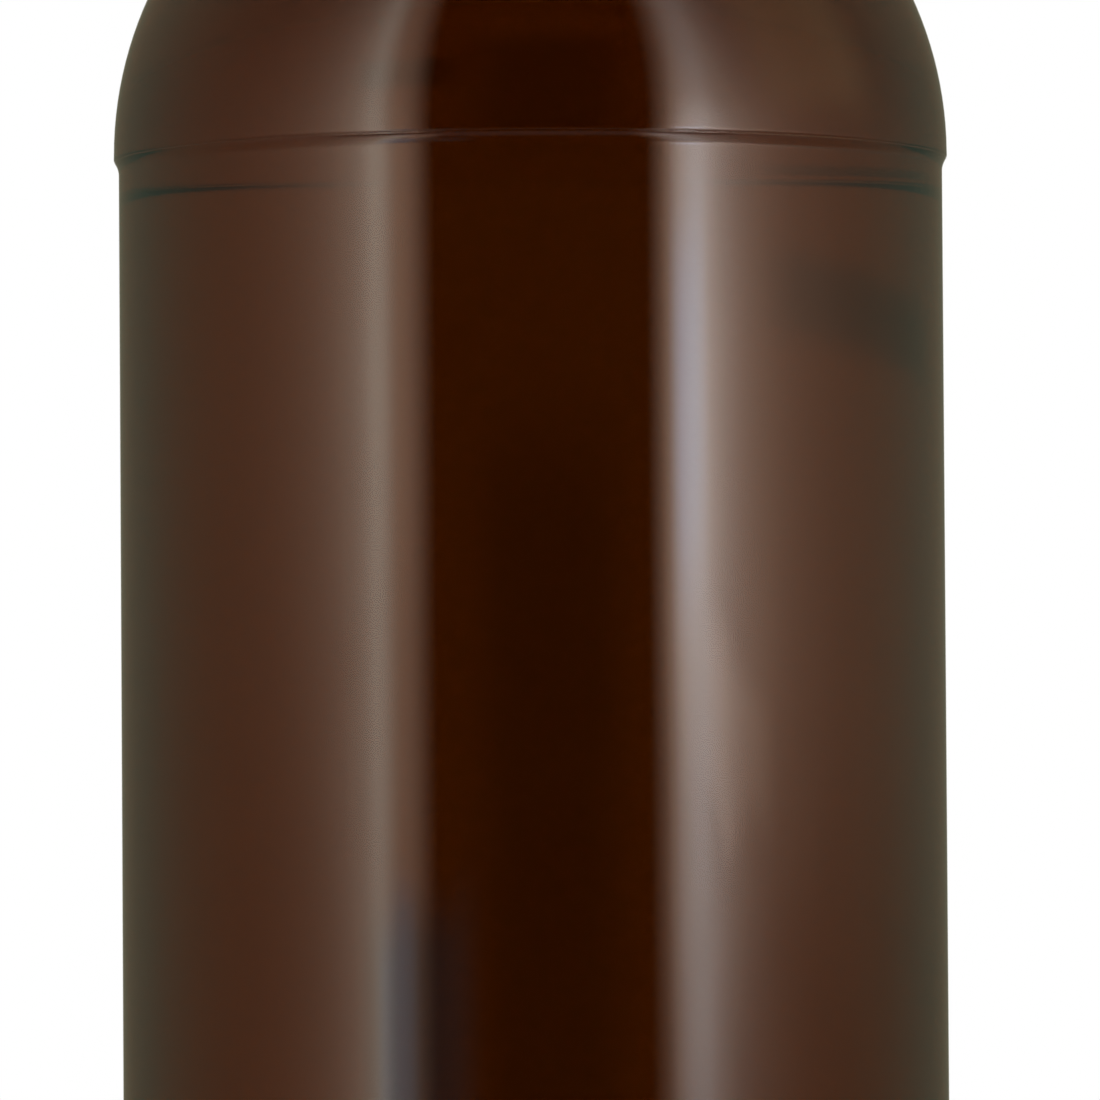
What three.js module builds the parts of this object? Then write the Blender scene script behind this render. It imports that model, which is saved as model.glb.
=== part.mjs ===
import * as THREE from "three";

// A round whisky bottle of dark amber glass, filled into its neck and shut with a long metal closure.
// Millimetres, +Z up, with the origin at the middle of the base. Each piece is turned about Z.

// The body outside
const PANEL_RADIUS = 38; // the recessed wall between the two beads, where a label would go
const BEAD_RADIUS = 38.45; // the shoulder and heel beads, which stand proud of the panel
const STEP_HEIGHT = 1.3; // each bead's edge sweeps in to the panel over this height
const SHOULDER_STEP_Z = 180; // middle of the step under the shoulder
const HEEL_STEP_Z = 22; // middle of the step above the heel
const SHOULDER_Z = 181.1; // the shoulder's curve starts here
const SHOULDER_RADIUS = 35;

// The base
const RING_INNER_RADIUS = 26.5; // the flat ring that the bottle stands on
const RING_OUTER_RADIUS = 31;
const PUSH_UP = 6; // height of the hollow under the base at its middle

// The neck
const NECK_RADIUS = 14;
const NECK_SWEEP = 12; // radius of the hollow curve from shoulder to neck
const COLLAR_RADIUS = 15.8; // the rounded ring below the closure
const COLLAR_Z = 234.4;
const COLLAR_HALF_HEIGHT = 2.6;
const FINISH_RADIUS = 14.9; // the mouth's outer wall, inside the closure
const LIP_ROUNDING = 1.4;
const RIM_Z = 285;

// The inside
const WALL = 4.1;
const NECK_WALL = 3.8;
const MOUTH_RADIUS = 9.5;
const MOUTH_DEPTH = 40; // the bore widens from the mouth to the neck over this depth
const FLOOR_Z = 14; // middle of the floor
const FLOOR_EDGE_Z = 12; // where the floor meets the inner heel
const INNER_HEEL = 8;
const FILL_Z = 224;
const GAP = 0.3; // between pieces that touch

// The closure
const CLOSURE_RADIUS = 16.5;
const CLOSURE_BOTTOM_Z = 238;
const CLOSURE_TOP_Z = 288;
const CLOSURE_ROUNDING = 1.3;
const TEAR_LINE_Z = 257.5;
const TEAR_LINE_HEIGHT = 1;
const GRIP_BAND_LOW_Z = 273;
const GRIP_BAND_HIGH_Z = 283.5;
const GROOVE_DEPTH = 0.35;

// Fineness
const SEGMENTS = 56; // round each piece
const SHOULDER_STEPS = 10;
const SWEEP_STEPS = 5;
const HEEL_STEPS = 6;
const FLOOR_STEPS = 4;
const SMALL_STEPS = 3;

const point = (r, z) => new THREE.Vector2(r, z);

// Points along an arc about (r, z). Angles are in degrees, from the direction away from the axis.
function arc(r, z, radius, from, to, steps) {
  const { degToRad } = THREE.MathUtils;
  const turnsBack = to < from;
  const curve = new THREE.EllipseCurve(r, z, radius, radius, degToRad(from), degToRad(to), turnsBack);
  return curve.getPoints(steps);
}

// A shallow dome from the axis, at height top, out to (radius, edge).
function dome(top, edge, radius, steps) {
  const rise = top - edge;
  const sphere = (radius ** 2 + rise ** 2) / (2 * rise);
  const edgeAngle = THREE.MathUtils.radToDeg(Math.acos(radius / sphere));
  return arc(0, top - sphere, sphere, 90, edgeAngle, steps);
}

// The shoulder's round, then the hollow sweep that meets it and the neck without a corner.
function shoulderAndNeck(shoulderRadius, neckRadius, sweepRadius) {
  const centreR = BEAD_RADIUS - SHOULDER_RADIUS;
  const sweepR = neckRadius + sweepRadius;
  const tilt = Math.acos((sweepR - centreR) / (shoulderRadius + sweepRadius));
  const sweepZ = SHOULDER_Z + (shoulderRadius + sweepRadius) * Math.sin(tilt);
  const meeting = THREE.MathUtils.radToDeg(tilt);
  return [
    ...arc(centreR, SHOULDER_Z, shoulderRadius, 0, meeting, SHOULDER_STEPS),
    ...arc(sweepR, sweepZ, sweepRadius, meeting + 180, 180, SWEEP_STEPS).slice(1),
  ];
}

// A bead's edge: a crisp corner on the bead, then a hollow curve that runs out into the panel.
// up is 1 for the bead above the panel and -1 for the one below it.
function stepFromPanel(middleZ, up) {
  const depth = BEAD_RADIUS - PANEL_RADIUS;
  const radius = (STEP_HEIGHT ** 2 + depth ** 2) / (2 * depth);
  const reach = THREE.MathUtils.radToDeg(Math.asin(STEP_HEIGHT / radius));
  const startZ = middleZ - (up * STEP_HEIGHT) / 2;
  return arc(PANEL_RADIUS + radius, startZ, radius, 180, 180 - up * reach, SMALL_STEPS);
}

// The collar below the closure: half an ellipse that bulges out of the neck.
function collar() {
  const bulge = COLLAR_RADIUS - NECK_RADIUS;
  const curve = new THREE.EllipseCurve(NECK_RADIUS, COLLAR_Z, bulge, COLLAR_HALF_HEIGHT, -Math.PI / 2, Math.PI / 2);
  return curve.getPoints(HEEL_STEPS);
}

// The bottle's outer face, from the middle of the base up to the mouth's rim.
function outside() {
  const heel = BEAD_RADIUS - RING_OUTER_RADIUS;
  return [
    ...dome(PUSH_UP, 0, RING_INNER_RADIUS, FLOOR_STEPS),
    ...arc(RING_OUTER_RADIUS, heel, heel, -90, 0, HEEL_STEPS),
    ...stepFromPanel(HEEL_STEP_Z, -1).reverse(),
    ...stepFromPanel(SHOULDER_STEP_Z, 1),
    ...shoulderAndNeck(SHOULDER_RADIUS, NECK_RADIUS, NECK_SWEEP),
    ...collar(),
    point(NECK_RADIUS, CLOSURE_BOTTOM_Z),
    point(FINISH_RADIUS, CLOSURE_BOTTOM_Z + FINISH_RADIUS - NECK_RADIUS),
    ...arc(FINISH_RADIUS - LIP_ROUNDING, RIM_Z - LIP_ROUNDING, LIP_ROUNDING, 0, 90, SMALL_STEPS),
  ];
}

// The cavity's wall, from the middle of the floor up to the neck, drawn in by inset.
function cavity(inset) {
  const heel = INNER_HEEL - inset;
  const floorEdge = BEAD_RADIUS - WALL - INNER_HEEL;
  const shoulder = SHOULDER_RADIUS - WALL - inset;
  return [
    ...dome(FLOOR_Z + inset, FLOOR_EDGE_Z + inset, floorEdge, FLOOR_STEPS).slice(0, -1),
    ...arc(floorEdge, FLOOR_EDGE_Z + INNER_HEEL, heel, -90, 0, HEEL_STEPS),
    ...shoulderAndNeck(shoulder, NECK_RADIUS - NECK_WALL - inset, NECK_SWEEP + NECK_WALL + inset),
  ];
}

// The outline of the glass: up its outer face, over the lip and down the cavity's wall.
function glassProfile() {
  const mouth = [
    ...arc(MOUTH_RADIUS + LIP_ROUNDING, RIM_Z - LIP_ROUNDING, LIP_ROUNDING, 90, 180, SMALL_STEPS),
    point(NECK_RADIUS - NECK_WALL, RIM_Z - MOUTH_DEPTH),
  ];
  return [...outside(), ...mouth, ...cavity(0).reverse()];
}

// The whisky: the cavity's form up to the fill level, a gap clear of the glass.
function whiskyProfile() {
  const neckRadius = NECK_RADIUS - NECK_WALL - GAP;
  return [...cavity(GAP), point(neckRadius, FILL_Z), point(0, FILL_Z)];
}

// A shallow square groove round the closure, between two heights.
function groove(lowZ, highZ) {
  const bottom = CLOSURE_RADIUS - GROOVE_DEPTH;
  return [
    point(CLOSURE_RADIUS, lowZ),
    point(bottom, lowZ + GROOVE_DEPTH),
    point(bottom, highZ - GROOVE_DEPTH),
    point(CLOSURE_RADIUS, highZ),
  ];
}

// The closure: a sleeve over the mouth with a flat top, its tear line and its recessed grip band.
function closureProfile() {
  const bore = FINISH_RADIUS + GAP;
  const roundingR = CLOSURE_RADIUS - CLOSURE_ROUNDING;
  const roundingZ = CLOSURE_TOP_Z - CLOSURE_ROUNDING;
  return [
    point(0, RIM_Z + GAP),
    point(bore, RIM_Z + GAP),
    point(bore, CLOSURE_BOTTOM_Z),
    point(CLOSURE_RADIUS - GROOVE_DEPTH, CLOSURE_BOTTOM_Z),
    point(CLOSURE_RADIUS, CLOSURE_BOTTOM_Z + GROOVE_DEPTH),
    ...groove(TEAR_LINE_Z - TEAR_LINE_HEIGHT / 2, TEAR_LINE_Z + TEAR_LINE_HEIGHT / 2),
    ...groove(GRIP_BAND_LOW_Z, GRIP_BAND_HIGH_Z),
    ...arc(roundingR, roundingZ, CLOSURE_ROUNDING, 0, 90, SMALL_STEPS),
    point(0, CLOSURE_TOP_Z),
  ];
}

// One piece, turned about Z from an outline that runs with its outer side on the right.
function turned(name, profile, material) {
  const geometry = new THREE.LatheGeometry(profile, SEGMENTS).rotateX(Math.PI / 2);
  const mesh = new THREE.Mesh(geometry, material);
  mesh.name = name;
  return mesh;
}

const amberGlass = new THREE.MeshStandardMaterial({
  color: 0x2b0e00,
  roughness: 0.06,
  metalness: 0,
  transparent: true,
  opacity: 0.9,
});
const spirit = new THREE.MeshStandardMaterial({ color: 0x8f4a12, roughness: 0.02, metalness: 0 });
const satinBlack = new THREE.MeshStandardMaterial({ color: 0x16130f, roughness: 0.38, metalness: 0.6 });

const bottle = new THREE.Group();
bottle.add(turned("glass_bottle", glassProfile(), amberGlass));
bottle.add(turned("whisky", whiskyProfile(), spirit));
bottle.add(turned("closure", closureProfile(), satinBlack));

export default bottle;
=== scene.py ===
"""The looks of a whisky bottle of dark amber glass, filled and shut, in a plain pale studio.

Lengths are in metres. Each piece is turned about Z from an outline of (radius, height) points,
with relief on top.
"""

import math

import bpy
import numpy as np
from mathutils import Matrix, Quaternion, Vector


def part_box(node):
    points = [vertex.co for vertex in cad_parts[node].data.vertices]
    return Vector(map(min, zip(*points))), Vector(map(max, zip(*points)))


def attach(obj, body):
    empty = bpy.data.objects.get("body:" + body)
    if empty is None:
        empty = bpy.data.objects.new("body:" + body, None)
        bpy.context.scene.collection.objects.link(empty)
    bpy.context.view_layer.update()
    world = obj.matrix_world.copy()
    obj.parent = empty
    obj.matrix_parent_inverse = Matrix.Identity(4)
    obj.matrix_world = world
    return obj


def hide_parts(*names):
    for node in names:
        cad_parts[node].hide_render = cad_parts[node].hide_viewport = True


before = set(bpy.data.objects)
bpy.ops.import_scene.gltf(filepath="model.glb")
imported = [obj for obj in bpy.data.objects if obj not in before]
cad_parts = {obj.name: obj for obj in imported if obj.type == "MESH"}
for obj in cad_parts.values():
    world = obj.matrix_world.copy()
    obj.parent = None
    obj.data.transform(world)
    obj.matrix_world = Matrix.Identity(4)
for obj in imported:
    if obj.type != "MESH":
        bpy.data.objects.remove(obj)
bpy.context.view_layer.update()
MM = 0.001

# Sizes read from the frame
_, glass_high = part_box("glass_bottle")
_, whisky_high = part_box("whisky")
closure_low, closure_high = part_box("closure")
BEAD_RADIUS = glass_high.x
RIM_Z = glass_high.z
FILL_Z = whisky_high.z
CLOSURE_RADIUS = closure_high.x
CLOSURE_BOTTOM_Z = closure_low.z
CLOSURE_TOP_Z = closure_high.z

# The body outside, as in the CAD
PANEL_RADIUS = BEAD_RADIUS - 0.45 * MM
STEP_HEIGHT = 1.3 * MM
SHOULDER_STEP_Z = 180 * MM
HEEL_STEP_Z = 22 * MM
SHOULDER_Z = 181.1 * MM
SHOULDER_RADIUS = 35 * MM

# The rounding of each bead's corner, which the CAD leaves sharp
STEP_EDGE = 0.35 * MM
EDGE_TILT = 1.3  # the rounding starts this much steeper than the step's own curve ends
EDGE_RISE = 0.5  # how far past the corner its centre lies, in its radii
HOLLOW_SHARE = 0.93  # what the rounding leaves of the step's curve

# The base
RING_INNER_RADIUS = 26.5 * MM
RING_OUTER_RADIUS = 31 * MM
PUSH_UP = 6 * MM
RIBS = 64  # short radial ribs on the ring that the bottle stands on
RIB_DEPTH = 0.22 * MM

# The neck
NECK_RADIUS = 14 * MM
NECK_SWEEP = 12 * MM
COLLAR_RADIUS = 15.8 * MM
COLLAR_Z = 234.4 * MM
COLLAR_HALF_HEIGHT = 2.6 * MM
FINISH_RADIUS = 14.9 * MM
LIP_ROUNDING = 1.4 * MM

# The inside
WALL = 4.1 * MM
NECK_WALL = 3.8 * MM
MOUTH_RADIUS = 9.5 * MM
MOUTH_DEPTH = 40 * MM
FLOOR_Z = 14 * MM
FLOOR_EDGE_Z = 12 * MM
INNER_HEEL = 8 * MM
INTO_WALL = 0.15 * MM  # the whisky reaches this far into the glass
MENISCUS = 1.2 * MM  # how far the whisky climbs the glass
MENISCUS_REACH = 1.1 * MM  # how far in from the glass it dies away

# The mould seams at +X and -X
SEAM_HEIGHT = 0.09 * MM
SEAM_OFFSETS_DEG = (-0.62, -0.38, -0.2, 0.2, 0.38, 0.62)
SEAM_HALF_WIDTH_DEG = 0.4
SEAM_FADE = 4 * MM  # worn flat this far above the bead, and growing over as much again

# A point this close to a piece's outer face belongs to it
OUTER_MARGIN = 1 * MM

# The closure
CLOSURE_ROUNDING = 1.3 * MM
CLOSURE_BORE = 15.2 * MM
GAP = 0.3 * MM  # between the rim and the closure
TEAR_LINE_Z = 257.5 * MM
TEAR_LINE_HEIGHT = 1 * MM
TEAR_BRIDGES = 16
BRIDGE_COSINE = 0.93  # a bridge is where the wave round the tear line is above this
BRIDGE_DEPTH = 0.05 * MM  # how far the bridges lie below the wall
GRIP_BAND_LOW_Z = 273 * MM
GRIP_BAND_HIGH_Z = 283.5 * MM
GRIP_RIBS = 120
GROOVE_DEPTH = 0.35 * MM
GRIP_RIB_HEIGHT = GROOVE_DEPTH * 0.8
CREASE = 0.12 * MM  # rings this close to a groove's edge keep its shading crisp

# Fineness
GLASS_SEGMENTS = 384
CLOSURE_SEGMENTS = 480
DOME_STEPS = 16
HEEL_STEPS = 16
INNER_HEEL_STEPS = 12
HOLLOW_STEPS = 9
SHOULDER_STEPS = 30
SWEEP_STEPS = 14
COLLAR_STEPS = 14
MENISCUS_STEPS = 23
SMALL_STEPS = 8
GRIP_BAND_STEPS = 18
HEM_STEPS = 5
CORNER_STEPS = 3

# The glass and the whisky: how much red, green and blue each takes out of light per metre
GLASS_ABSORPTION = (110, 240, 640)
WHISKY_ABSORPTION = (39.9, 51.0, 63)
DENSITY_MARGIN = 1.1  # keeps every part of the absorption's colour above 0
GLASS_IOR = 1.5
WHISKY_IOR = 1.36
GLASS_ROUGHNESS = (0.015, 0.05)  # from clean to smeared
RIPPLE_HEIGHT = 0.12 * MM
WHITE = (1, 1, 1, 1)

# The closure's lacquer, mottled between two near-blacks
LACQUER_DARK = (0.011, 0.0095, 0.0085, 1)
LACQUER_PALE = (0.017, 0.0145, 0.0125, 1)
LACQUER_ROUGHNESS = (0.3, 0.42)  # from polished to worn
LACQUER_COAT = 0.25
LACQUER_COAT_ROUGHNESS = 0.2
LACQUER_GRAIN = 0.02 * MM

# The middle part of its range, which noise seldom leaves
NOISE_LOW = 0.3
NOISE_HIGH = 0.7

# The floor, just clear of the base, which fades out from FLOOR_FADE_FROM to its edge
STUDIO_FLOOR_Z = -0.2 * MM
FLOOR_RADIUS = 2.2
FLOOR_FADE_FROM = 0.5
FLOOR_COLOUR = (0.86, 0.86, 0.86, 1)
FLOOR_ROUGHNESS = 0.6
CIRCLE_CORNERS = 96  # of the floor and of the ring of lamps

# The ring of soft lamps round the bottle, which shows only as reflections. Turns are in degrees
# from the front. A soft span is (start, full, still full, end), of turns or of heights.
TENT_RADIUS = 0.42
TENT_BOTTOM = -0.35
TENT_TOP = 0.8
TENT_FADE = 0.25  # the lamps fade in over this height above the ring's lower edge
UNEVENNESS = 0.006  # how far their upper and lower ends wander

# Each lamp: a cool core in a warm glow, brightest from foot_to up to top_from, with its turns
# counted to its own side. Each break is a change in its brightness, with the soft spans of turns and
# heights that it covers. core_above is the share that the core keeps above CORE_FADE_HEIGHTS.
RIGHT_LAMP = dict(
    side=1, peak=46,
    core=(3.5, 4.0, 4.4), core_opens=(34.5, 44), core_reach=6,
    glow=(4.8, 3.2, 2.25), glow_opens=(30, 41), glow_reach=22.5,
    foot=0.42, foot_to=0.155, top=0.22, top_from=0.17, top_reach=0.13, core_above=0.6,
    breaks=((0.3, (44, 51, 60, 70), (0.112, 0.120, 0.128, 0.138)),),
)
LEFT_LAMP = dict(
    side=-1, peak=42,
    core=(1.9, 2.05, 1.85), core_opens=(34, 41), core_reach=6,
    glow=(2.7, 1.75, 1.22), glow_opens=(24.5, 35), glow_reach=24.5,
    foot=0.7, foot_to=0.17, top=0.3, top_from=0.19, top_reach=0.3, core_above=1.0,
    breaks=((-0.32, (12, 22, 36, 42), (-0.1, 0.0, 0.098, 0.112)),),
)
CORE_FADE_HEIGHTS = (0.2, 0.28)

# Light added to the ring, with its soft spans of turns and heights: two bluish places low by the
# left lamp, a bluer one in the right lamp's core and a wide brownish one high at the right
PATCHES = (
    ((0.02, 0.1, 0.12), (-36, -31, -22, -12), (-0.1, 0.0, 0.098, 0.114)),
    ((0.0, 0.46, 0.8), (-43, -39, -35, -29), (-0.1, 0.0, 0.098, 0.112)),
    ((0.0, 0.8, 1.9), (36, 40, 43, 48), (0.13, 0.165, 0.175, 0.195)),
    ((0.42, 0.28, 0.14), (56, 72, 92, 112), (0.2, 0.3, 0.9, 1.0)),
)

# The rest of the ring, each with the turns, or for the last the heights, over which it comes in
ROOM_BESIDE = (0.10, 0.19, 0.14)  # the dim room at the bottle's sides
ROOM_BESIDE_TURNS = (60, 120)
ROOM_BEHIND = (0.15, 0.15, 0.1)  # and further back, where it takes over
ROOM_BEHIND_TURNS = (125, 155)
BACK_STRIP = (1.1, 1.1, 1.1)  # a soft lamp right behind the bottle, for views from the back
BACK_STRIP_TURNS = (164, 174)
BELOW = 0.15  # what reflections see below the horizon
BELOW_HEIGHTS = (-0.04, -0.2)

# The white wall behind the bottle, by direction from it: across, along the view, and up. Each pair
# gives where a change starts and ends.
BEHIND_ALONG = (0.0, 0.5)  # the shadow and the dimmer sides come in over this
WALL_FADE_DEG = (14, 30)  # the wall fades out over these angles above level
ABOVE_WALL = 0.02  # what is left above it
WALL_RISE = 0.35  # how much further up it reaches straight behind the bottle
WALL_RISE_ACROSS = (0.12, 0.28)
SHADOW_LOSS = 0.3  # the bottle's own soft shadow on the wall, as the share of light lost
SHADOW_MIDDLE_ACROSS = -0.023
SHADOW_MIDDLE_UP = -0.01
SHADOW_ACROSS = (0.04, 0.11)  # it fades over this on each side of its middle
SHADOW_UP = (0.05, 0.078)  # and over this above and below it
SIDE_LOSS = 0.36  # how much dimmer the wall is towards its sides
SIDE_ACROSS = (0.26, 0.82)
# Darker places: the share of light lost, and the soft spans across and up
DARK_PLACES = (
    (0.45, (0.05, 0.125, 0.19, 0.215), (-0.056, -0.044, -0.022, -0.009)),
    (0.55, (-0.88, -0.7, -0.38, -0.25), (0.0695, 0.0735, 0.0810, 0.0855)),
)
BELOW_UP = (-0.1, -0.5)  # reflections that miss the ring see BELOW here
AMBIENT = 0.9  # light from all round on the floor

# The light above, on the floor and the closure
OVERHEAD_AT = Vector((-0.1, -0.35, 1.3))
OVERHEAD_SIZE = 0.9
OVERHEAD_WATTS = 7

# Camera: a long lens a little lower than the bottle's middle, with the photograph's view
CAMERA_AT = Vector((0.00158, -0.775, 0.123))
CAMERA_PITCH_DEG = 1.604
CAMERA_ROLL_DEG = 0.37
LENS_MM = 275
SENSOR_MM = 36


# Outlines

def arc(r, z, radius, start, end, steps):
    """Points on an arc about (r, z). Angles are in degrees, from the direction away from the axis."""
    angles = np.radians(np.linspace(start, end, steps + 1))
    return [(r + radius * math.cos(a), z + radius * math.sin(a)) for a in angles]


def line(start, end, steps):
    """Points from start to end, both included."""
    return [tuple(p) for p in np.linspace(start, end, steps + 1)]


def dome(top, edge, radius):
    """A shallow dome from the axis, at height top, out to (radius, edge)."""
    rise = top - edge
    sphere = (radius ** 2 + rise ** 2) / (2 * rise)
    edge_angle = math.degrees(math.acos(radius / sphere))
    return arc(0, top - sphere, sphere, 90, edge_angle, DOME_STEPS)


def shoulder_and_neck(shoulder_radius, neck_radius, sweep_radius):
    """The shoulder's round and the hollow sweep that meets it and the neck without a corner."""
    centre_r = BEAD_RADIUS - SHOULDER_RADIUS
    sweep_r = neck_radius + sweep_radius
    tilt = math.acos((sweep_r - centre_r) / (shoulder_radius + sweep_radius))
    sweep_z = SHOULDER_Z + (shoulder_radius + sweep_radius) * math.sin(tilt)
    meeting = math.degrees(tilt)
    return (
        arc(centre_r, SHOULDER_Z, shoulder_radius, 0, meeting, SHOULDER_STEPS)
        + arc(sweep_r, sweep_z, sweep_radius, meeting + 180, 180, SWEEP_STEPS)[1:]
    )


def step_from_panel(middle_z, up):
    """A bead's edge: a hollow curve that leaves the panel, then a small rounding onto the bead.

    up is 1 for the bead above the panel and -1 for the one below it.
    """
    depth = BEAD_RADIUS - PANEL_RADIUS
    radius = (STEP_HEIGHT ** 2 + depth ** 2) / (2 * depth)
    reach = up * math.degrees(math.asin(STEP_HEIGHT / radius))
    start_z = middle_z - up * STEP_HEIGHT / 2
    edge_z = middle_z + up * (STEP_HEIGHT / 2 + STEP_EDGE * EDGE_RISE)
    return (
        arc(PANEL_RADIUS + radius, start_z, radius, 180, 180 - reach * HOLLOW_SHARE, HOLLOW_STEPS)
        + arc(BEAD_RADIUS - STEP_EDGE, edge_z, STEP_EDGE, -reach * EDGE_TILT, 0, CORNER_STEPS)
    )


def collar():
    """The ring below the closure: half an ellipse that bulges out of the neck."""
    bulge = COLLAR_RADIUS - NECK_RADIUS
    angles = np.radians(np.linspace(-90, 90, COLLAR_STEPS + 1))
    return [
        (NECK_RADIUS + bulge * math.cos(a), COLLAR_Z + COLLAR_HALF_HEIGHT * math.sin(a))
        for a in angles
    ]


def outside():
    """The bottle's outer face, from the middle of the base up to the rim."""
    heel = BEAD_RADIUS - RING_OUTER_RADIUS
    lip_r, lip_z = FINISH_RADIUS - LIP_ROUNDING, RIM_Z - LIP_ROUNDING
    return (
        dome(PUSH_UP, 0, RING_INNER_RADIUS)
        + line((RING_INNER_RADIUS, 0), (RING_OUTER_RADIUS, 0), SMALL_STEPS)[1:-1]
        + arc(RING_OUTER_RADIUS, heel, heel, -90, 0, HEEL_STEPS)
        + step_from_panel(HEEL_STEP_Z, -1)[::-1]
        + step_from_panel(SHOULDER_STEP_Z, 1)
        + shoulder_and_neck(SHOULDER_RADIUS, NECK_RADIUS, NECK_SWEEP)
        + collar()
        + [(NECK_RADIUS, CLOSURE_BOTTOM_Z)]
        + [(FINISH_RADIUS, CLOSURE_BOTTOM_Z + FINISH_RADIUS - NECK_RADIUS)]
        + arc(lip_r, lip_z, LIP_ROUNDING, 0, 90, SMALL_STEPS)
    )


def mouth():
    """From the rim down into the neck, above the whisky."""
    lip_r, lip_z = MOUTH_RADIUS + LIP_ROUNDING, RIM_Z - LIP_ROUNDING
    bore = [(NECK_RADIUS - NECK_WALL, RIM_Z - MOUTH_DEPTH)]
    return arc(lip_r, lip_z, LIP_ROUNDING, 90, 180, SMALL_STEPS)[1:] + bore


def cavity(inset):
    """The cavity's wall, from the middle of the floor up to the neck, drawn in by inset."""
    floor_edge = BEAD_RADIUS - WALL - INNER_HEEL
    heel_z = FLOOR_EDGE_Z + INNER_HEEL
    shoulder = SHOULDER_RADIUS - WALL - inset
    neck = NECK_RADIUS - NECK_WALL - inset
    return (
        dome(FLOOR_Z + inset, FLOOR_EDGE_Z + inset, floor_edge)[:-1]
        + arc(floor_edge, heel_z, INNER_HEEL - inset, -90, 0, INNER_HEEL_STEPS)
        + shoulder_and_neck(shoulder, neck, NECK_SWEEP + NECK_WALL + inset)
    )


def groove(low_z, high_z, bottom_steps=1):
    """A shallow groove round the closure."""
    bottom = CLOSURE_RADIUS - GROOVE_DEPTH
    low, high = low_z + GROOVE_DEPTH, high_z - GROOVE_DEPTH
    return (
        [(CLOSURE_RADIUS, low_z - 2 * CREASE), (CLOSURE_RADIUS, low_z - CREASE)]
        + line((CLOSURE_RADIUS, low_z), (bottom, low), CORNER_STEPS)
        + line((bottom, low), (bottom, high), bottom_steps)[1:-1]
        + line((bottom, high), (CLOSURE_RADIUS, high_z), CORNER_STEPS)
        + [(CLOSURE_RADIUS, high_z + CREASE), (CLOSURE_RADIUS, high_z + 2 * CREASE)]
    )


# Meshes

def ring_angles(segments, seams=False):
    """Angles round a piece, in radians, with extra ones close to the seams."""
    angles = list(np.arange(segments) * 360 / segments)
    if seams:
        angles += [seam + offset for seam in (0, 180) for offset in SEAM_OFFSETS_DEG]
    return np.radians(np.sort(np.mod(angles, 360)))


def turned(name, outline, angles, relief=None):
    """A closed piece turned from an outline that starts and ends on the axis.

    relief(r, z, angle) gives how far each point moves outward and upward.
    """
    rings = np.array(outline[1:-1])
    r = np.repeat(rings[:, :1], len(angles), 1)
    z = np.repeat(rings[:, 1:], len(angles), 1)
    if relief is not None:
        dr, dz = relief(r, z, angles[None, :])
        r, z = r + dr, z + dz
    points = np.stack([r * np.cos(angles), r * np.sin(angles), z], -1).reshape(-1, 3)
    bottom, top = len(points), len(points) + 1
    points = np.vstack([points, (0, 0, outline[0][1]), (0, 0, outline[-1][1])])

    rows, columns = len(rings), len(angles)
    here = np.arange(columns)
    after = (here + 1) % columns
    faces = [
        (row * columns + a, row * columns + b, (row + 1) * columns + b, (row + 1) * columns + a)
        for row in range(rows - 1)
        for a, b in zip(here, after)
    ]
    faces += [(bottom, b, a) for a, b in zip(here, after)]
    last = (rows - 1) * columns
    faces += [(top, last + a, last + b) for a, b in zip(here, after)]

    mesh = bpy.data.meshes.new(name)
    mesh.from_pydata(points.tolist(), [], faces)
    mesh.polygons.foreach_set("use_smooth", [True] * len(mesh.polygons))
    mesh.update()
    return add_object(name, mesh)


def add_object(name, data):
    """An object of the scene made from a mesh, a light or a camera."""
    item = bpy.data.objects.new(name, data)
    bpy.context.scene.collection.objects.link(item)
    return item


def mark_from(piece, name, first, count):
    """Sets a face attribute to 1 on a turned piece, from one of its outline's points to the last.

    count is the number of points in the outline.
    """
    mesh = piece.data
    columns = (len(mesh.vertices) - 2) // (count - 2)
    quads = (count - 3) * columns
    values = np.zeros(len(mesh.polygons), np.float32)
    values[(first - 1) * columns:quads] = 1
    values[quads + columns:] = 1
    mesh.attributes.new(name, "FLOAT", "FACE").data.foreach_set("value", values)


def plateau(low, high, x):
    """1 between low and high, easing to 0 over a tenth of that width at each end."""
    edge = (high - low) / 10
    rise = np.clip((x - low) / edge, 0, 1) * np.clip((high - x) / edge, 0, 1)
    return rise * rise * (3 - 2 * rise)


def outer_radius(z):
    """The outer face's radius at each height above the shoulder's start."""
    above = shoulder_and_neck(SHOULDER_RADIUS, NECK_RADIUS, NECK_SWEEP)
    radii, heights = np.array(above).T
    return np.interp(z, heights, radii)


def glass_relief(r, z, angle):
    """The mould seams, worn flat on the beads, and the ribs under the base."""
    face = np.where(z > SHOULDER_Z, outer_radius(z), PANEL_RADIUS)
    on_face = (r > face - OUTER_MARGIN) & (z < COLLAR_Z)
    panel = plateau(HEEL_STEP_Z + STEP_HEIGHT, SHOULDER_STEP_Z - STEP_HEIGHT, z)
    above = np.clip((z - SHOULDER_Z - SEAM_FADE) / SEAM_FADE, 0, 1)
    off_seam = np.degrees(np.abs((angle + math.pi / 2) % math.pi - math.pi / 2))
    ridge = np.clip(1 - off_seam / SEAM_HALF_WIDTH_DEG, 0, 1)
    dr = SEAM_HEIGHT * ridge * on_face * np.maximum(panel, above)
    on_ring = np.isclose(z, 0) * plateau(RING_INNER_RADIUS, RING_OUTER_RADIUS, r)
    dz = RIB_DEPTH * on_ring * (0.5 - 0.5 * np.cos(RIBS * angle))
    return dr, dz


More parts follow.
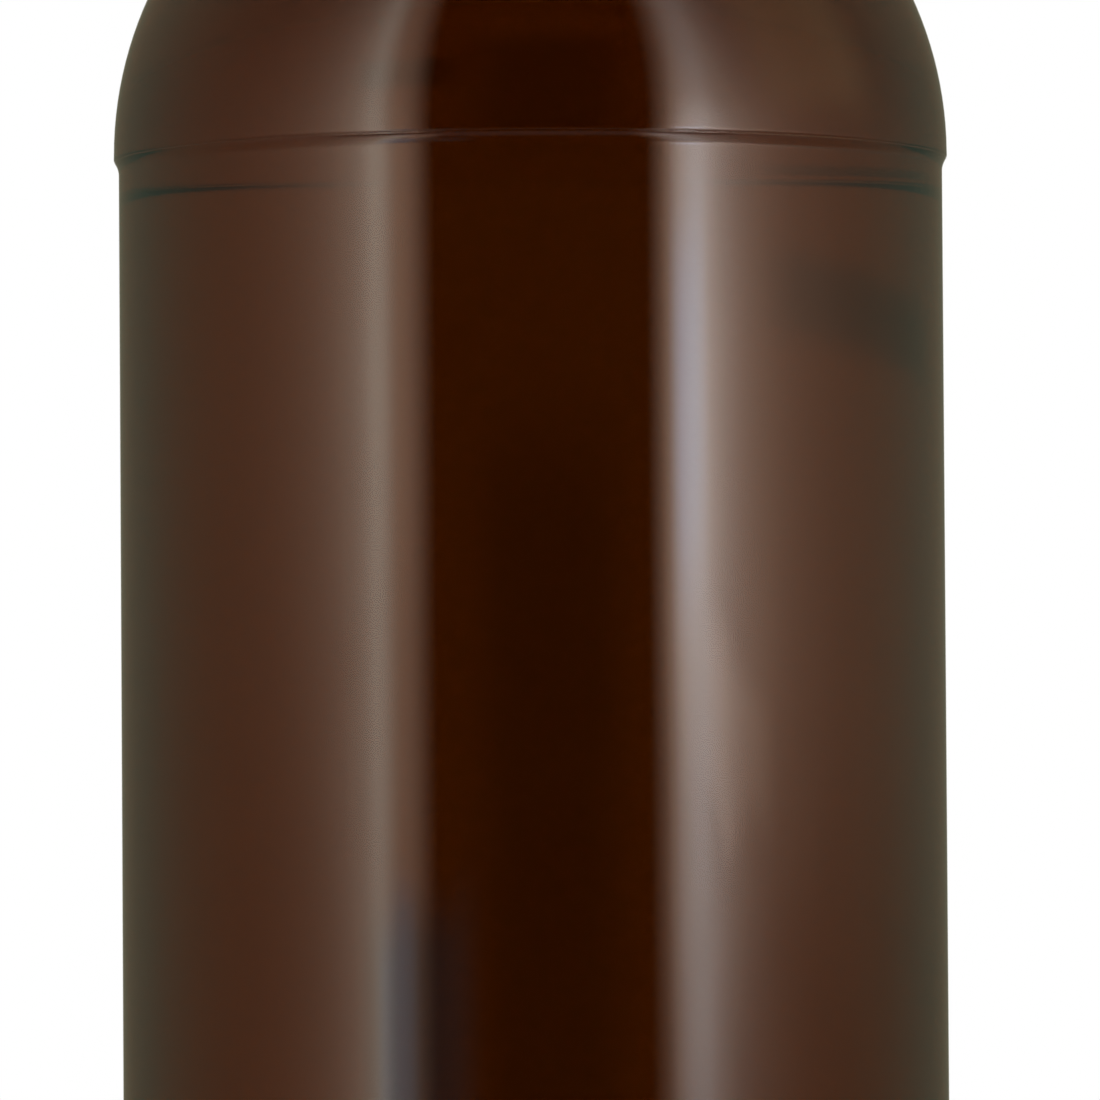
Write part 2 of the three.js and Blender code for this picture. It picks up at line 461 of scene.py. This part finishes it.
def closure_relief(r, z, angle):
    """The grip band's upright ribs and the small bridges across the tear line."""
    on_wall = r > CLOSURE_RADIUS - OUTER_MARGIN
    grip = plateau(GRIP_BAND_LOW_Z + GROOVE_DEPTH / 2, GRIP_BAND_HIGH_Z - GROOVE_DEPTH / 2, z)
    ribs = GRIP_RIB_HEIGHT * (0.5 + 0.5 * np.cos(GRIP_RIBS * angle))
    tear = np.abs(z - TEAR_LINE_Z) < TEAR_LINE_HEIGHT / 2
    on_bridge = np.cos(TEAR_BRIDGES * angle) > BRIDGE_COSINE
    bridge = on_bridge * (CLOSURE_RADIUS - BRIDGE_DEPTH - r)
    return on_wall * (grip * ribs + tear * bridge), np.zeros_like(r)


# Nodes

def new_material(name):
    """A material with its node tree, its Principled shader and its output."""
    material = bpy.data.materials.new(name)
    material.use_nodes = True
    tree = material.node_tree
    return material, tree, tree.nodes["Principled BSDF"], tree.nodes["Material Output"]


def put(tree, value, socket):
    """Gives a socket its value, which is a number, a colour or another node's output."""
    if isinstance(value, bpy.types.NodeSocket):
        tree.links.new(value, socket)
    else:
        socket.default_value = value


def attribute(tree, name):
    """A mesh attribute's value."""
    node = tree.nodes.new("ShaderNodeAttribute")
    node.attribute_name = name
    return node.outputs["Fac"]


def coordinates(tree, kind):
    """The across, along and up parts of a texture coordinate."""
    place = tree.nodes.new("ShaderNodeTexCoord")
    split = tree.nodes.new("ShaderNodeSeparateXYZ")
    tree.links.new(place.outputs[kind], split.inputs["Vector"])
    return [split.outputs[axis] for axis in "XYZ"]


def map_range(tree, value, start, end, low=0.0, high=1.0, interpolation="LINEAR"):
    """Goes from low to high while value goes from start to end."""
    node = tree.nodes.new("ShaderNodeMapRange")
    node.interpolation_type = interpolation
    for name, number in (("From Min", start), ("From Max", end), ("To Min", low), ("To Max", high)):
        node.inputs[name].default_value = number
    tree.links.new(value, node.inputs["Value"])
    return node.outputs["Result"]


def ease(tree, value, start, end, low=0.0, high=1.0):
    """Goes smoothly from low to high while value goes from start to end."""
    return map_range(tree, value, start, end, low, high, "SMOOTHSTEP")


def noise(tree, scale, detail, stretch=(1, 1, 1)):
    """Noise in object coordinates, stretched along an axis where asked."""
    place = tree.nodes.new("ShaderNodeTexCoord")
    mapping = tree.nodes.new("ShaderNodeMapping")
    mapping.inputs["Scale"].default_value = stretch
    texture = tree.nodes.new("ShaderNodeTexNoise")
    texture.inputs["Scale"].default_value = scale
    texture.inputs["Detail"].default_value = detail
    tree.links.new(place.outputs["Object"], mapping.inputs["Vector"])
    tree.links.new(mapping.outputs["Vector"], texture.inputs["Vector"])
    return texture.outputs["Fac"]


def spread(tree, value, low=0.0, high=1.0):
    """Noise spread from low to high."""
    return map_range(tree, value, NOISE_LOW, NOISE_HIGH, low, high)


def add_bump(tree, shader, height, distance):
    """Bumps the shader's surface by height, which runs from 0 to 1, times distance."""
    node = tree.nodes.new("ShaderNodeBump")
    node.inputs["Strength"].default_value = 1
    node.inputs["Distance"].default_value = distance
    tree.links.new(height, node.inputs["Height"])
    tree.links.new(node.outputs["Normal"], shader.inputs["Normal"])


def mix(tree, factor, first, second, kind="FLOAT"):
    """Goes from first to second while factor goes from 0 to 1."""
    node = tree.nodes.new("ShaderNodeMix")
    node.data_type = kind
    for name, value in (("Factor", factor), ("A", first), ("B", second)):
        put(tree, value, node.inputs[name])
    return node.outputs["Result"]


def work_out(tree, operation, *values):
    """The result of a Math node, or of a Vector Math node where a value is a colour."""
    is_vector = any(isinstance(value, tuple) for value in values)
    node = tree.nodes.new("ShaderNodeVectorMath" if is_vector else "ShaderNodeMath")
    node.operation = operation
    for place, value in enumerate(values):
        is_scale = operation == "SCALE" and place == 1
        put(tree, value, node.inputs["Scale"] if is_scale else node.inputs[place])
    return node.outputs[0]


def product(tree, first, *others):
    """Values multiplied together."""
    for other in others:
        first = work_out(tree, "MULTIPLY", first, other)
    return first


def distance_from(tree, value, middle):
    """How far value is from middle, either way."""
    return work_out(tree, "ABSOLUTE", work_out(tree, "SUBTRACT", value, middle))


def fade_past(tree, value, start, reach):
    """1 up to start, then dying away over reach."""
    past = work_out(tree, "MAXIMUM", work_out(tree, "SUBTRACT", value, start), 0.0)
    return work_out(tree, "EXPONENT", work_out(tree, "DIVIDE", past, -reach))


def patch(tree, first, second, spans):
    """1 within both of two soft spans and 0 outside them."""
    sides = []
    for value, (start, full, still_full, end) in zip((first, second), spans):
        sides += [ease(tree, value, start, full), ease(tree, value, still_full, end, 1.0, 0.0)]
    return product(tree, *sides)


# Materials

def absorb(tree, output, per_metre):
    """Fills a closed piece with an absorption given per metre for red, green and blue."""
    density = max(per_metre) * DENSITY_MARGIN
    node = tree.nodes.new("ShaderNodeVolumeAbsorption")
    node.inputs["Color"].default_value = (*[1 - a / density for a in per_metre], 1)
    node.inputs["Density"].default_value = density
    tree.links.new(node.outputs["Volume"], output.inputs["Volume"])


def glass_material():
    """Dark amber glass. Its colour comes from how far light goes through it.

    Where the attribute wetted is 1, the wall is smooth and bends light as glass on whisky does.
    """
    material, tree, shader, output = new_material("amber_glass")
    shader.inputs["Base Color"].default_value = WHITE
    shader.inputs["Transmission Weight"].default_value = 1
    shader.inputs["IOR"].default_value = GLASS_IOR
    wetted = attribute(tree, "wetted")
    ior = map_range(tree, wetted, 0, 1, GLASS_IOR, GLASS_IOR / WHISKY_IOR)
    put(tree, ior, shader.inputs["IOR"])
    smears = noise(tree, scale=60, detail=3, stretch=(1, 1, 0.25))
    roughness = spread(tree, smears, *GLASS_ROUGHNESS)
    dry = work_out(tree, "SUBTRACT", 1.0, wetted)
    put(tree, product(tree, roughness, dry), shader.inputs["Roughness"])
    ripples = noise(tree, scale=28, detail=1, stretch=(1, 1, 0.35))
    add_bump(tree, shader, ripples, RIPPLE_HEIGHT)
    absorb(tree, output, GLASS_ABSORPTION)
    return material


def whisky_material():
    """The spirit, clear and coloured by its depth.

    Its sides lie inside the wall, where the wetted glass does the bending, so only its top surface
    bends light.
    """
    material, tree, shader, output = new_material("whisky")
    shader.inputs["Base Color"].default_value = WHITE
    shader.inputs["Transmission Weight"].default_value = 1
    shader.inputs["Roughness"].default_value = 0
    shader.inputs["IOR"].default_value = WHISKY_IOR
    ior = map_range(tree, attribute(tree, "surface"), 0, 1, 1, WHISKY_IOR)
    put(tree, ior, shader.inputs["IOR"])
    absorb(tree, output, WHISKY_ABSORPTION)
    return material


def closure_material():
    """Satin near-black lacquer over thin metal."""
    material, tree, shader, _ = new_material("closure_metal")
    mottle = spread(tree, noise(tree, scale=900, detail=4))
    colour = mix(tree, mottle, LACQUER_DARK, LACQUER_PALE, "RGBA")
    put(tree, colour, shader.inputs["Base Color"])
    wear = spread(tree, noise(tree, scale=140, detail=3), *LACQUER_ROUGHNESS)
    put(tree, wear, shader.inputs["Roughness"])
    shader.inputs["Coat Weight"].default_value = LACQUER_COAT
    shader.inputs["Coat Roughness"].default_value = LACQUER_COAT_ROUGHNESS
    add_bump(tree, shader, noise(tree, scale=1800, detail=2), LACQUER_GRAIN)
    return material


# Pieces

def make_glass():
    """The bottle, with its wetted inner wall bending light from glass straight into whisky."""
    dry = outside() + mouth()
    outline = dry + [(NECK_RADIUS - NECK_WALL, FILL_Z)] + cavity(0)[::-1]
    piece = turned("bottle", outline, ring_angles(GLASS_SEGMENTS, seams=True), glass_relief)
    piece.data.materials.append(glass_material())
    mark_from(piece, "wetted", len(dry), len(outline))
    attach(piece, "root")
    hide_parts("glass_bottle")


def make_whisky():
    """The whisky, a little into the wall all round, with a meniscus up the neck."""
    sides = cavity(-INTO_WALL)
    neck = NECK_RADIUS - NECK_WALL + INTO_WALL
    top = [
        (neck * share, FILL_Z + MENISCUS * math.exp(-(1 - share) * neck / MENISCUS_REACH))
        for share in np.linspace(1, 0, MENISCUS_STEPS + 1)
    ]
    outline = sides + top
    piece = turned("whisky_fill", outline, ring_angles(GLASS_SEGMENTS))
    piece.data.materials.append(whisky_material())
    mark_from(piece, "surface", len(sides) - 1, len(outline))
    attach(piece, "root")
    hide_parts("whisky")


def make_closure():
    """The closure, with upright ribs round its grip band and bridges across its tear line."""
    hem_r, hem_z = CLOSURE_RADIUS - GROOVE_DEPTH, CLOSURE_BOTTOM_Z + GROOVE_DEPTH
    top_r, top_z = CLOSURE_RADIUS - CLOSURE_ROUNDING, CLOSURE_TOP_Z - CLOSURE_ROUNDING
    outline = (
        [(0, RIM_Z + GAP), (CLOSURE_BORE, RIM_Z + GAP), (CLOSURE_BORE, CLOSURE_BOTTOM_Z)]
        + arc(hem_r, hem_z, GROOVE_DEPTH, -90, 0, HEM_STEPS)
        + groove(TEAR_LINE_Z - TEAR_LINE_HEIGHT / 2, TEAR_LINE_Z + TEAR_LINE_HEIGHT / 2)
        + groove(GRIP_BAND_LOW_Z, GRIP_BAND_HIGH_Z, GRIP_BAND_STEPS)
        + arc(top_r, top_z, CLOSURE_ROUNDING, 0, 90, SMALL_STEPS)
        + [(0, CLOSURE_TOP_Z)]
    )
    piece = turned("screw_closure", outline, ring_angles(CLOSURE_SEGMENTS), closure_relief)
    piece.data.materials.append(closure_material())
    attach(piece, "root")
    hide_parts("closure")


# Studio

def make_floor():
    """A pale floor that fades into the white background well away from the bottle."""
    place = (0, 0, STUDIO_FLOOR_Z)
    bpy.ops.mesh.primitive_circle_add(
        vertices=CIRCLE_CORNERS, radius=FLOOR_RADIUS, fill_type="NGON", location=place
    )
    floor = bpy.context.object
    floor.name = "studio_floor"
    material, tree, shader, output = new_material("pale_floor")
    shader.inputs["Base Color"].default_value = FLOOR_COLOUR
    shader.inputs["Roughness"].default_value = FLOOR_ROUGHNESS
    shader.inputs["Specular IOR Level"].default_value = 0
    point = tree.nodes.new("ShaderNodeTexCoord")
    from_middle = tree.nodes.new("ShaderNodeVectorMath")
    from_middle.operation = "LENGTH"
    tree.links.new(point.outputs["Object"], from_middle.inputs[0])
    faded = ease(tree, from_middle.outputs["Value"], FLOOR_FADE_FROM, FLOOR_RADIUS)
    clear = tree.nodes.new("ShaderNodeBsdfTransparent")
    blend = tree.nodes.new("ShaderNodeMixShader")
    tree.links.new(faded, blend.inputs["Fac"])
    tree.links.new(shader.outputs["BSDF"], blend.inputs[1])
    tree.links.new(clear.outputs["BSDF"], blend.inputs[2])
    tree.links.new(blend.outputs["Shader"], output.inputs["Surface"])
    floor.data.materials.append(material)
    floor.visible_glossy = False


def lamp_light(tree, turn, height, lamp):
    """One lamp's core and glow, at a turn from the front and a height."""
    aside = product(tree, turn, lamp["side"])
    foot = ease(tree, height, lamp["foot_to"] / 2, lamp["foot_to"], lamp["foot"], 1.0)
    fade = fade_past(tree, height, lamp["top_from"], lamp["top_reach"])
    top = work_out(tree, "MULTIPLY_ADD", fade, 1 - lamp["top"], lamp["top"])
    bottom = ease(tree, height, TENT_BOTTOM, TENT_BOTTOM + TENT_FADE)
    level = product(tree, foot, top, bottom)
    for change, *spans in lamp["breaks"]:
        where = patch(tree, aside, height, spans)
        level = product(tree, level, work_out(tree, "MULTIPLY_ADD", where, change, 1.0))
    lights = []
    for part, kept_above in (("core", lamp["core_above"]), ("glow", 1.0)):
        opened = ease(tree, aside, *lamp[part + "_opens"])
        fade = fade_past(tree, aside, lamp["peak"], lamp[part + "_reach"])
        above = ease(tree, height, *CORE_FADE_HEIGHTS, 1.0, kept_above)
        shown = product(tree, opened, fade, level, above)
        lights.append(work_out(tree, "SCALE", lamp[part], shown))
    return lights


def ring_light(tree):
    """The light of the whole ring: two lamps, a dark front and a dim back."""
    across, along, up = coordinates(tree, "Object")
    wander = noise(tree, scale=9, detail=2, stretch=(1, 1, 3))
    height = work_out(tree, "ADD", up, spread(tree, wander, -UNEVENNESS, UNEVENNESS))
    ahead = product(tree, along, -1.0)
    turn = work_out(tree, "DEGREES", work_out(tree, "ARCTAN2", across, ahead))
    aside = work_out(tree, "ABSOLUTE", turn)
    behind = ease(tree, aside, *ROOM_BEHIND_TURNS)
    beside = work_out(tree, "SUBTRACT", ease(tree, aside, *ROOM_BESIDE_TURNS), behind)
    parts = [(colour, patch(tree, turn, height, spans)) for colour, *spans in PATCHES]
    parts += [
        (ROOM_BESIDE, beside),
        (ROOM_BEHIND, behind),
        (BACK_STRIP, ease(tree, aside, *BACK_STRIP_TURNS)),
        ((BELOW, BELOW, BELOW), ease(tree, height, *BELOW_HEIGHTS)),
    ]
    lights = lamp_light(tree, turn, height, RIGHT_LAMP) + lamp_light(tree, turn, height, LEFT_LAMP)
    lights += [work_out(tree, "SCALE", colour, level) for colour, level in parts]
    total = lights[0]
    for light in lights[1:]:
        add = tree.nodes.new("ShaderNodeVectorMath")
        tree.links.new(total, add.inputs[0])
        tree.links.new(light, add.inputs[1])
        total = add.outputs["Vector"]
    return total


def make_tent():
    """A ring of soft light round the bottle, which only reflections see."""
    here = np.arange(CIRCLE_CORNERS)
    after = (here + 1) % CIRCLE_CORNERS
    points = [
        (TENT_RADIUS * math.cos(angle), TENT_RADIUS * math.sin(angle), z)
        for z in (TENT_BOTTOM, TENT_TOP)
        for angle in ring_angles(CIRCLE_CORNERS)
    ]
    faces = [(a, b, CIRCLE_CORNERS + b, CIRCLE_CORNERS + a) for a, b in zip(here, after)]
    mesh = bpy.data.meshes.new("studio_lamps")
    mesh.from_pydata(points, [], faces)
    tent = add_object("studio_lamps", mesh)

    material, tree, shader, output = new_material("lamps")
    tree.nodes.remove(shader)
    emission = tree.nodes.new("ShaderNodeEmission")
    tree.links.new(ring_light(tree), emission.inputs["Color"])
    tree.links.new(emission.outputs["Emission"], output.inputs["Surface"])
    material.cycles.emission_sampling = "NONE"
    mesh.materials.append(material)
    for ray in ("camera", "diffuse", "transmission", "shadow", "volume_scatter"):
        setattr(tent, "visible_" + ray, False)


def wall_light(tree, across, along, up):
    """How bright the white wall behind the bottle is, by direction."""
    aside = work_out(tree, "ABSOLUTE", across)
    behind = ease(tree, along, *BEHIND_ALONG)
    rise = ease(tree, aside, *WALL_RISE_ACROSS, WALL_RISE, 0.0)
    top_start, top_end = (math.sin(math.radians(angle)) for angle in WALL_FADE_DEG)
    wall = ease(tree, work_out(tree, "SUBTRACT", up, rise), top_start, top_end, 1.0, ABOVE_WALL)

    beside_shadow = distance_from(tree, across, SHADOW_MIDDLE_ACROSS)
    over_shadow = distance_from(tree, up, SHADOW_MIDDLE_UP)
    shadow = product(
        tree,
        ease(tree, over_shadow, *SHADOW_UP, SHADOW_LOSS, 0.0),
        behind,
        ease(tree, beside_shadow, *SHADOW_ACROSS, 1.0, 0.0),
    )
    losses = [shadow, product(tree, ease(tree, aside, *SIDE_ACROSS, 0.0, SIDE_LOSS), behind)]
    losses += [product(tree, patch(tree, across, up, spans), loss) for loss, *spans in DARK_PLACES]
    return product(tree, wall, *[work_out(tree, "SUBTRACT", 1.0, loss) for loss in losses])


def make_world():
    """White to the eye, a wall seen through the glass, and even light on the floor."""
    world = bpy.data.worlds.new("studio")
    bpy.context.scene.world = world
    world.use_nodes = True
    tree = world.node_tree
    background = tree.nodes["Background"]
    path = tree.nodes.new("ShaderNodeLightPath")
    across, along, up = coordinates(tree, "Generated")
    wall = wall_light(tree, across, along, up)
    below = ease(tree, up, *BELOW_UP, 0.0, BELOW)
    strength = mix(tree, path.outputs["Is Transmission Ray"], below, wall)
    strength = mix(tree, path.outputs["Is Diffuse Ray"], strength, AMBIENT)
    strength = mix(tree, path.outputs["Is Camera Ray"], strength, 1.0)
    put(tree, strength, background.inputs["Strength"])
    background.inputs["Color"].default_value = WHITE
    world.cycles.sampling_method = "NONE"


def make_overhead_light():
    """A soft square light on the floor and the closure, which the glass doesn't show."""
    data = bpy.data.lights.new("overhead", "AREA")
    data.shape = "SQUARE"
    data.size = OVERHEAD_SIZE
    data.energy = OVERHEAD_WATTS
    light = add_object("overhead", data)
    light.location = OVERHEAD_AT
    light.rotation_mode = "QUATERNION"
    middle = Vector((0, 0, CLOSURE_TOP_Z / 2))
    light.rotation_quaternion = (middle - OVERHEAD_AT).to_track_quat("-Z", "Y")
    light.visible_camera = False
    light.visible_glossy = False
    light.visible_transmission = False


def make_camera():
    """The photograph's view: a long lens close to level, rolled so that the bottle leans left."""
    data = bpy.data.cameras.new("camera")
    data.lens = LENS_MM
    data.sensor_width = SENSOR_MM
    data.clip_start = 0.01
    data.clip_end = 50
    camera = add_object("camera", data)
    camera.location = CAMERA_AT
    pitch = math.radians(CAMERA_PITCH_DEG)
    ahead = Vector((0, math.cos(pitch), math.sin(pitch)))
    camera.rotation_mode = "QUATERNION"
    roll = Quaternion((0, 0, 1), math.radians(-CAMERA_ROLL_DEG))
    camera.rotation_quaternion = ahead.to_track_quat("-Z", "Y") @ roll
    bpy.context.scene.camera = camera


make_camera()
make_glass()
make_whisky()
make_closure()
make_floor()
make_tent()
make_world()
make_overhead_light()
bpy.context.scene.view_settings.view_transform = "Standard"
